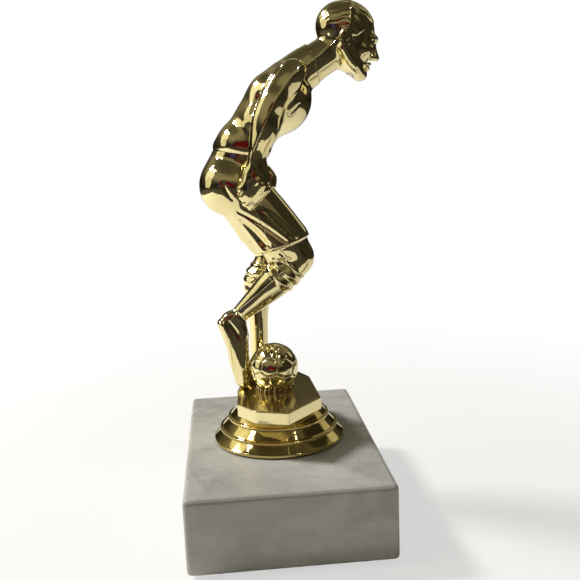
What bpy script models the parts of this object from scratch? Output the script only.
"""Figure trophy: a metallised two-half footballer on a stepped foot, bolted through a marble block.

Frame: +Z up, +X the way the figure faces, +Y its left. The origin is the centre of the marble
block's underside, on the axis of the threaded rod that holds the figure down.
"""

import math

import bmesh
import bpy
from mathutils import Matrix, Vector

MM = 0.001
GAP = 0.3  # clearance between two pieces that touch, in mm like every size below
BEYOND = 1.0  # how far a cutter runs past the solid it cuts

# Marble block.
BLOCK_X = 50.8
BLOCK_Y = 76.2
BLOCK_Z = 19.05
BLOCK_EDGE = 1.2
ROD_HOLE_R = 4.0
RECESS_R = 12.5
RECESS_DEPTH = 11.0

# Felt dots under the block.
PAD_R = 5.0
PAD_THICK = 1.0
PAD_INSET = 8.0

# Quarter-inch hardware.
ROD_R = 3.175
ROD_BOTTOM = 0.0
NUT_FLATS = 11.1
NUT_THICK = 5.5
NUT_BORE_R = ROD_R + GAP
WASHER_R = 9.2
WASHER_THICK = 1.6
LOCK_WASHER_R = 6.1
LOCK_WASHER_THICK = 1.6
LOCK_WASHER_SLOT = 1.0
ROUND_SIDES = 40

# Stepped foot, plate and boss of the figure.
FOOT_BOTTOM = BLOCK_Z + GAP
RIM_R = 17.9
RIM_TOP = 20.3
RING_1 = (15.9, 22.8)
RING_2 = (13.6, 25.8)
LIP = 0.5
NECK_R = 11.4
NECK_FLARE = 0.6
PLATE_TOP = 31.6
PLATE_THICK = 3.5
PLATE_EDGE = 0.35
PLATE_OUTLINE = (
    (-11.3, -8.5),
    (-7.0, -15.0),
    (1.5, -18.2),
    (11.3, -7.0),
    (10.4, 12.8),
    (7.6, 19.0),
    (-0.5, 20.5),
    (-8.5, 15.0),
    (-11.0, 4.0),
)
WALL = 1.8
BOSS_R = 8.6
NUT_POCKET_BOTTOM = 22.5
ROD_TOP = 29.6

# Football beside the right foot.
BALL_R = 6.6
BALL_AT = (-0.3, 2.4, 38.1)

# The figure's limbs: centre points x, y, z and the radius there, from the body outwards.
LIMBS = {
    "torso": (
        (-9.6, 8.0, 89.5, 7.0),
        (-7.6, 8.0, 96.6, 6.7),
        (-2.6, 7.6, 104.0, 6.9),
        (3.6, 7.2, 111.2, 7.1),
        (8.1, 7.0, 116.4, 5.6),
        (11.4, 6.5, 119.7, 4.2),
    ),
    "neck": ((10.8, 6.5, 118.0, 5.0), (15.0, 6.4, 120.6, 4.7), (19.5, 6.1, 123.6, 4.5)),
    "right_arm": (
        (6.0, -3.0, 116.3, 3.5),
        (3.0, -4.6, 112.4, 3.3),
        (0.4, -6.0, 107.8, 3.2),
        (-1.0, -6.3, 104.3, 3.6),
        (-2.0, -5.6, 100.2, 3.1),
        (-2.8, -5.0, 96.4, 2.5),
    ),
    "left_arm": (
        (6.0, 17.4, 116.3, 3.5),
        (3.1, 19.1, 112.4, 3.3),
        (0.1, 20.4, 107.9, 3.2),
        (-1.7, 20.6, 104.5, 3.6),
        (-3.2, 19.9, 100.4, 3.1),
        (-4.1, 19.2, 96.6, 2.5),
    ),
    "right_thigh": (
        (-7.9, 3.8, 87.2, 7.0),
        (-3.7, 3.4, 82.9, 6.7),
        (0.2, 3.1, 78.0, 6.6),
        (3.6, 3.0, 73.0, 6.7),
    ),
    "right_shin": (
        (3.6, 3.4, 73.0, 4.6),
        (7.9, 3.2, 68.5, 4.0),
        (5.7, 3.3, 65.6, 3.9),
        (1.1, 3.7, 62.0, 4.4),
        (-4.1, 4.4, 57.4, 3.4),
        (-8.6, 5.0, 53.6, 2.5),
    ),
    "right_foot": (
        (-12.1, 5.1, 51.2, 2.9),
        (-10.4, 5.3, 49.6, 3.4),
        (-10.3, 5.6, 44.1, 3.0),
        (-9.8, 5.9, 38.5, 2.5),
        (-9.3, 6.0, 33.4, 1.9),
    ),
    "left_thigh": ((-8.2, 12.6, 86.8, 6.7), (-3.8, 13.7, 79.4, 6.3), (-0.9, 14.4, 73.6, 5.9)),
    "left_shin": (
        (-1.2, 14.2, 73.4, 4.4),
        (1.4, 14.3, 69.5, 4.0),
        (0.2, 14.3, 66.1, 4.0),
        (-3.0, 14.2, 59.9, 4.4),
        (-3.6, 13.8, 52.3, 3.0),
        (-3.8, 13.4, 42.0, 2.6),
        (-3.9, 13.3, 36.0, 2.8),
    ),
    "left_foot": ((-4.5, 12.9, 34.2, 2.9), (-0.5, 15.2, 34.0, 2.9), (3.8, 18.0, 33.4, 2.2)),
}
# How much a limb is narrowed across the body, about its own middle.
NARROWED = {"right_thigh": 0.74, "left_thigh": 0.72}
# Rounder masses: centre, radii along x, y and z, and the pitch about Y in degrees.
LUMPS = {
    "chest": ((5.6, 7.1, 109.4), (6.9, 11.0, 8.4), 32),
    "back": ((-0.9, 7.4, 107.2), (5.6, 10.4, 9.4), 36),
    "loin": ((-8.6, 8.0, 99.6), (5.6, 8.4, 6.4), 30),
    "shoulders": ((6.0, 7.2, 116.0), (4.8, 12.8, 4.2), 0),
    "belly": ((-5.0, 7.8, 98.5), (6.4, 8.8, 8.2), 22),
    "hips": ((-9.6, 8.0, 88.6), (8.2, 10.4, 8.0), 10),
    "right_buttock": ((-12.0, 4.6, 88.6), (5.4, 5.6, 6.6), 12),
    "left_buttock": ((-12.0, 11.4, 88.6), (5.4, 5.6, 6.6), 12),
    "right_fist": ((-3.6, -4.5, 89.6), (3.9, 2.8, 5.6), 14),
    "left_fist": ((-5.1, 18.7, 89.6), (3.9, 2.8, 5.6), 14),
    "skull": ((22.4, 6.0, 128.0), (7.6, 6.2, 6.8), 18),
    "jaw": ((24.8, 6.0, 122.2), (5.0, 4.6, 5.2), 18),
    "nose": ((30.4, 6.0, 121.6), (1.2, 1.0, 1.8), 0),
}
# The hollow inside the trunk: centre, radii and pitch of the three rooms it is made of.
ROOMS = {
    "chest_room": ((2.4, 7.3, 109.0), (4.6, 7.0, 6.4), 34),
    "belly_room": ((-4.6, 7.8, 98.6), (4.2, 5.6, 8.0), 26),
    "hip_room": ((-9.4, 8.0, 89.2), (5.0, 6.4, 5.0), 10),
}

# Where the two moulded halves meet, as x, z points down each side of the figure.
PARTING_TURN = 4.6  # degrees about Z by which the foot's parting plane is turned
PARTING_MIDDLE = 9.25
PARTING_FOOT_X = -0.2
PARTING_BALL_TOP = 46.5
PARTING_TOP = (
    (24.0, 140.0),
    (22.6, 128.0),
    (15.5, 121.5),
    (7.0, 116.5),
    (0.6, 105.0),
    (-3.0, 92.0),
    (-4.6, 84.0),
    (-0.9, 74.5),
)
PARTING_RIGHT = (
    (4.6, 69.0),
    (3.0, 65.4),
    (-9.4, 54.6),
    (-12.6, 51.0),
    (-12.2, 44.0),
    (-10.1, PLATE_TOP + GAP / 2),
    (-7.08, PLATE_TOP + GAP / 2),
    (-7.08, PARTING_BALL_TOP),
    (PARTING_FOOT_X, PARTING_BALL_TOP),
    (PARTING_FOOT_X, 10.0),
)
PARTING_LEFT = (
    (-0.9, 70.0),
    (-2.9, 60.3),
    (-3.8, 45.0),
    (-2.4, 36.0),
    (PARTING_FOOT_X, PLATE_TOP + GAP / 2),
    (PARTING_FOOT_X, 10.0),
)
FINE = 0.7  # voxel size of the blended body
BODY_FACES = 4400

parts = bpy.data.collections.new("figure_trophy")
cutters = bpy.data.collections.new("cutters")


def clear_scene():
    for obj in list(bpy.data.objects):
        bpy.data.objects.remove(obj, do_unlink=True)
    bpy.context.scene.collection.children.link(parts)
    bpy.context.scene.collection.children.link(cutters)


def metres(point):
    return Vector(point) * MM


def material(name, colour, metallic, roughness):
    made = bpy.data.materials.new(name)
    made.use_nodes = True
    shader = made.node_tree.nodes["Principled BSDF"]
    shader.inputs["Base Color"].default_value = (*colour, 1.0)
    shader.inputs["Metallic"].default_value = metallic
    shader.inputs["Roughness"].default_value = roughness
    return made


def adopt(obj, name, collection=parts):
    """Name an object and move it into one collection."""
    obj.name = name
    obj.data.name = name
    for home in list(obj.users_collection):
        home.objects.unlink(obj)
    collection.objects.link(obj)
    return obj


def cylinder(name, radius, bottom, top, at=(0.0, 0.0), sides=48):
    bpy.ops.mesh.primitive_cylinder_add(
        vertices=sides,
        radius=radius * MM,
        depth=(top - bottom) * MM,
        location=metres((at[0], at[1], (bottom + top) / 2)),
    )
    return adopt(bpy.context.object, name)


def ellipsoid(name, centre, radii, pitch, segments=32, rings=20):
    bpy.ops.mesh.primitive_uv_sphere_add(segments=segments, ring_count=rings, radius=MM)
    ball = adopt(bpy.context.object, name)
    spin = Matrix.Rotation(math.radians(pitch), 4, "Y")
    ball.data.transform(Matrix.Translation(metres(centre)) @ spin @ Matrix.Diagonal((*radii, 1.0)))
    return ball


def baked(obj, loose_caps=False):
    """Replace an object's mesh or curve by its evaluated mesh, closing a curve's loose caps."""
    graph = bpy.context.evaluated_depsgraph_get()
    mesh = bpy.data.meshes.new_from_object(obj.evaluated_get(graph))
    if loose_caps:
        net = bmesh.new()
        net.from_mesh(mesh)
        bmesh.ops.remove_doubles(net, verts=net.verts, dist=1e-6)
        bmesh.ops.recalc_face_normals(net, faces=net.faces)
        net.to_mesh(mesh)
        net.free()
    made = bpy.data.objects.new(obj.name, mesh)
    made.matrix_world = obj.matrix_world.copy()
    parts.objects.link(made)
    name = obj.name
    bpy.data.objects.remove(obj, do_unlink=True)
    made.name = name
    return made


def limb(name, stations):
    """A tube whose radius changes along its length."""
    curve = bpy.data.curves.new(name, "CURVE")
    curve.dimensions = "3D"
    curve.bevel_depth = MM
    curve.bevel_resolution = 5
    curve.use_fill_caps = True
    line = curve.splines.new("POLY")
    line.points.add(len(stations) - 1)
    for point, (x, y, z, radius) in zip(line.points, stations):
        point.co = (*metres((x, y, z)), 1.0)
        point.radius = radius
    tube = bpy.data.objects.new(name, curve)
    parts.objects.link(tube)
    bpy.context.view_layer.update()
    return baked(tube, loose_caps=True)


def joined(name, objects):
    with bpy.context.temp_override(
        active_object=objects[0], selected_objects=objects, selected_editable_objects=objects
    ):
        bpy.ops.object.join()
    return adopt(objects[0], name)


def boolean(target, other, operation):
    """Apply one Boolean and drop the tool object."""
    adopt(other, other.name, cutters)
    other.hide_render = True
    other.display_type = "WIRE"
    change = target.modifiers.new(operation.lower(), "BOOLEAN")
    change.operation = operation
    change.object = other
    change.solver = "EXACT"
    bpy.context.view_layer.update()
    made = baked(target)
    bpy.data.objects.remove(other, do_unlink=True)
    return made


def turned(name, profile, steps=52):
    """A closed solid of revolution: x, z points from the top down the outer side."""
    net = bmesh.new()
    verts = [net.verts.new(metres((x, 0.0, z))) for x, z in profile]
    for first, second in zip(verts, verts[1:]):
        net.edges.new((first, second))
    if min(profile[0][0], profile[-1][0]) > 0:
        net.edges.new((verts[-1], verts[0]))
    mesh = bpy.data.meshes.new(name)
    net.to_mesh(mesh)
    net.free()
    obj = bpy.data.objects.new(name, mesh)
    parts.objects.link(obj)
    spin = obj.modifiers.new("turn", "SCREW")
    spin.steps = steps
    spin.render_steps = steps
    spin.use_merge_vertices = True
    spin.merge_threshold = 1e-6
    bpy.context.view_layer.update()
    return baked(obj, loose_caps=True)


def prism(name, outline, bottom, top, bevel=0.0):
    """A flat outline with thickness."""
    curve = bpy.data.curves.new(name, "CURVE")
    curve.dimensions = "2D"
    curve.fill_mode = "BOTH"
    curve.extrude = (top - bottom) / 2 * MM
    line = curve.splines.new("POLY")
    line.points.add(len(outline) - 1)
    line.use_cyclic_u = True
    for point, (x, y) in zip(line.points, outline):
        point.co = (*metres((x, y, 0.0)), 1.0)
    obj = bpy.data.objects.new(name, curve)
    obj.location = metres((0.0, 0.0, (bottom + top) / 2))
    parts.objects.link(obj)
    bpy.context.view_layer.update()
    made = baked(obj, loose_caps=True)
    if bevel:
        soften(made, bevel, 2)
        made = baked(made)
    return made


def soften(obj, width, segments):
    bevel = obj.modifiers.new("edges", "BEVEL")
    bevel.width = width * MM
    bevel.segments = segments
    bevel.limit_method = "ANGLE"
    bevel.angle_limit = math.radians(40)
    bpy.context.view_layer.update()


def hexagon(name, across_flats, bottom, top):
    corner_r = across_flats / 2 / math.cos(math.radians(30))
    return cylinder(name, corner_r, bottom, top, sides=6)


def finish(obj, surface):
    obj.data.materials.clear()
    obj.data.materials.append(surface)
    obj.data.shade_smooth()
    obj.data.set_sharp_from_angle(angle=math.radians(35))


def marble_base(surface):
    bpy.ops.mesh.primitive_cube_add(size=1.0, location=metres((0.0, 0.0, BLOCK_Z / 2)))
    block = adopt(bpy.context.object, "marble_base")
    block.data.transform(Matrix.Diagonal((*metres((BLOCK_X, BLOCK_Y, BLOCK_Z)), 1.0)))
    soften(block, BLOCK_EDGE, 3)
    block = baked(block)
    block = boolean(block, cylinder("rod_hole", ROD_HOLE_R, -BEYOND, BLOCK_Z + BEYOND), "DIFFERENCE")
    block = boolean(block, cylinder("recess", RECESS_R, -BEYOND, RECESS_DEPTH), "DIFFERENCE")
    finish(block, surface)


def felt_pads(surface):
    corner_x = BLOCK_X / 2 - PAD_INSET
    corner_y = BLOCK_Y / 2 - PAD_INSET
    places = {
        "front_right": (corner_x, -corner_y),
        "front_left": (corner_x, corner_y),
        "back_right": (-corner_x, -corner_y),
        "back_left": (-corner_x, corner_y),
    }
    for side, at in places.items():
        pad = cylinder(f"felt_pad_{side}", PAD_R, -GAP - PAD_THICK, -GAP, at, ROUND_SIDES)
        finish(pad, surface)


def hardware(surface):
    """The threaded rod, the captive nut above, and the washers and nut in the recess."""
    finish(cylinder("threaded_rod", ROD_R, ROD_BOTTOM, ROD_TOP, sides=ROUND_SIDES), surface)

    pocket_floor = NUT_POCKET_BOTTOM + GAP
    captive = hexagon("captive_nut", NUT_FLATS, pocket_floor, pocket_floor + NUT_THICK)
    finish(bored(captive, NUT_BORE_R), surface)

    washer_top = RECESS_DEPTH - GAP
    washer_bottom = washer_top - WASHER_THICK
    washer = cylinder("flat_washer", WASHER_R, washer_bottom, washer_top)
    finish(bored(washer, NUT_BORE_R), surface)

    lock_top = washer_bottom - GAP
    lock_bottom = lock_top - LOCK_WASHER_THICK
    lock = cylinder("lock_washer", LOCK_WASHER_R, lock_bottom, lock_top)
    lock = bored(lock, NUT_BORE_R)
    bpy.ops.mesh.primitive_cube_add(size=1.0, location=metres((LOCK_WASHER_R, 0.0, lock_top)))
    slot = adopt(bpy.context.object, "lock_slot")
    slot_size = metres((LOCK_WASHER_R + BEYOND, LOCK_WASHER_SLOT, LOCK_WASHER_R))
    slot.data.transform(Matrix.Diagonal((*slot_size, 1.0)))
    finish(boolean(lock, slot, "DIFFERENCE"), surface)

    nut_top = lock_bottom - GAP
    nut = hexagon("hex_nut", NUT_FLATS, nut_top - NUT_THICK, nut_top)
    finish(bored(nut, NUT_BORE_R), surface)


def bored(obj, radius):
    return boolean(obj, cylinder("bore", radius, -BEYOND, PLATE_TOP, sides=ROUND_SIDES), "DIFFERENCE")


def blended_body():
    """The whole person as one smooth closed surface."""
    masses = []
    for name, stations in LIMBS.items():
        balls = [ellipsoid("joint", (x, y, z), (r, r, r), 0, 24, 14) for x, y, z, r in stations]
        whole = joined(name, [limb(name, stations), *balls])
        middle = sum(station[1] for station in stations) / len(stations) * MM
        width = NARROWED.get(name, 1.0)
        squeeze = Matrix.Translation((0, middle, 0)) @ Matrix.Diagonal((1, width, 1, 1))
        whole.data.transform(squeeze @ Matrix.Translation((0, -middle, 0)))
        masses.append(whole)
    for name, (centre, radii, pitch) in LUMPS.items():
        masses.append(ellipsoid(name, centre, radii, pitch))
    body = joined("body", masses)
    blend = body.modifiers.new("blend", "REMESH")
    blend.mode = "VOXEL"
    blend.voxel_size = FINE * MM
    ease = body.modifiers.new("ease", "SMOOTH")
    ease.factor = 0.5
    ease.iterations = 6
    bpy.context.view_layer.update()
    body = baked(body)
    thin = body.modifiers.new("thin", "DECIMATE")
    thin.ratio = BODY_FACES / (2 * len(body.data.polygons))
    bpy.context.view_layer.update()
    return baked(body)


def stepped_foot():
    """The turned foot, from the plate's underside down to the rim."""
    r1, z1 = RING_1
    r2, z2 = RING_2
    top = PLATE_TOP - PLATE_THICK / 2
    return turned(
        "stepped_foot",
        (
            (0.0, top),
            (NECK_R, top),
            (NECK_R, PLATE_TOP - PLATE_THICK - NECK_FLARE),
            (r2 - LIP, z2 + LIP / 2),
            (r2, z2),
            (r2, z2 - LIP),
            (r1 - LIP, z1 + LIP / 2),
            (r1, z1),
            (r1, z1 - LIP),
            (RIM_R - LIP, RIM_TOP + LIP / 2),
            (RIM_R, RIM_TOP - LIP),
            (RIM_R, FOOT_BOTTOM),
            (0.0, FOOT_BOTTOM),
        ),
    )


def foot_hollow():
    """The ring-shaped space around the boss, open underneath."""
    roof = PLATE_TOP - PLATE_THICK - BEYOND
    return turned(
        "foot_hollow",
        (
            (BOSS_R, roof),
            (NECK_R - WALL + GAP, roof),
            (RING_2[0] - GAP, RING_1[1] + GAP),
            (RIM_R - WALL, RIM_TOP),
            (RIM_R - WALL, FOOT_BOTTOM - BEYOND),
            (BOSS_R, FOOT_BOTTOM - BEYOND),
        ),
    )


def body_hollow():
    """The room inside the torso, open where the halves meet."""
    rooms = [ellipsoid(name, *room, segments=20, rings=12) for name, room in ROOMS.items()]
    hollow = rooms[0]
    for other in rooms[1:]:
        hollow = boolean(hollow, other, "UNION")
    return hollow


def offset_line(line, distance):
    """The line moved sideways by a distance, with mitred corners."""
    points = [Vector(point) for point in line]
    normals = []
    for first, second in zip(points, points[1:]):
        along = (second - first).normalized()
        normals.append(Vector((along.y, -along.x)))
    moved = []
    for index, point in enumerate(points):
        before = normals[max(index - 1, 0)]
        after = normals[min(index, len(normals) - 1)]
        mitre = (before + after).normalized()
        moved.append(tuple(point + mitre * (distance / mitre.dot(after))))
    return moved


def upright(wall):
    """Stand a prism of x, z outline up along Y, and turn its part through the foot and ball."""
    wall.data.transform(wall.matrix_world)
    wall.matrix_world = Matrix.Identity(4)
    wall.data.transform(Matrix(((1, 0, 0, 0), (0, 0, 1, 0), (0, 1, 0, 0), (0, 0, 0, 1))))
    wall.data.flip_normals()
    slant = math.tan(math.radians(PARTING_TURN))
    for vertex in wall.data.vertices:
        place = vertex.co / MM
        if abs(place.x - PARTING_FOOT_X) < 2 * GAP and place.z < PARTING_BALL_TOP + GAP:
            vertex.co.x -= vertex.co.y * slant
    return wall


def parting_walls():
    """The two thin walls that part the body into halves, one for each side of it."""
    walls = []
    right = PARTING_TOP + PARTING_RIGHT
    left = PARTING_TOP + PARTING_LEFT
    for name, line, low, high in (
        ("parting_right", right, -40.0, PARTING_MIDDLE + GAP / 5),
        ("parting_left", left, PARTING_MIDDLE - GAP / 5, 40.0),
    ):
        outline = offset_line(line, GAP / 2) + offset_line(line, -GAP / 2)[::-1]
        walls.append(upright(prism(name, outline, low, high)))
    return walls


def figure_halves(surface):
    """Part the figure and name the two bodies that result."""
    figure = joined_solids()
    for wall in parting_walls():
        figure = boolean(figure, wall, "DIFFERENCE")
    bpy.context.view_layer.objects.active = figure
    with bpy.context.temp_override(active_object=figure, object=figure):
        bpy.ops.object.mode_set(mode="EDIT")
        bpy.ops.mesh.select_all(action="SELECT")
        bpy.ops.mesh.separate(type="LOOSE")
        bpy.ops.object.mode_set(mode="OBJECT")
    halves = [obj for obj in parts.objects if obj.name.startswith(figure.name)]
    halves.sort(key=lambda half: max(corner[0] for corner in half.bound_box))
    for half, name in zip(halves, ("figure_back_shell", "figure_front_shell"), strict=True):
        adopt(half, name)
        finish(half, surface)


def joined_solids():
    """Person, plate, foot and ball as one solid, with its hollows and the nut's pocket."""
    figure = blended_body()
    plate = prism("plate", PLATE_OUTLINE, PLATE_TOP - PLATE_THICK, PLATE_TOP, PLATE_EDGE)
    ball = ellipsoid("ball", BALL_AT, (BALL_R,) * 3, 0, 32, 20)
    for solid in (plate, stepped_foot(), ball):
        figure = boolean(figure, solid, "UNION")
    pocket_flats = NUT_FLATS + 2 * GAP
    pocket_top = NUT_POCKET_BOTTOM + NUT_THICK + 2 * GAP
    pocket = hexagon("pocket", pocket_flats, NUT_POCKET_BOTTOM, pocket_top)
    bore = cylinder("bore", ROD_R + GAP, FOOT_BOTTOM - BEYOND, ROD_TOP + GAP, sides=ROUND_SIDES)
    for hollow in (body_hollow(), foot_hollow(), pocket, bore):
        figure = boolean(figure, hollow, "DIFFERENCE")
    return figure


clear_scene()
gilt = material("gilt_plastic", (0.86, 0.74, 0.42), 1.0, 0.08)
marble = material("marble", (0.78, 0.78, 0.76), 0.0, 0.25)
steel = material("zinc_steel", (0.66, 0.67, 0.68), 1.0, 0.32)
felt = material("felt", (0.05, 0.12, 0.07), 0.0, 0.95)
marble_base(marble)
felt_pads(felt)
hardware(steel)
figure_halves(gilt)
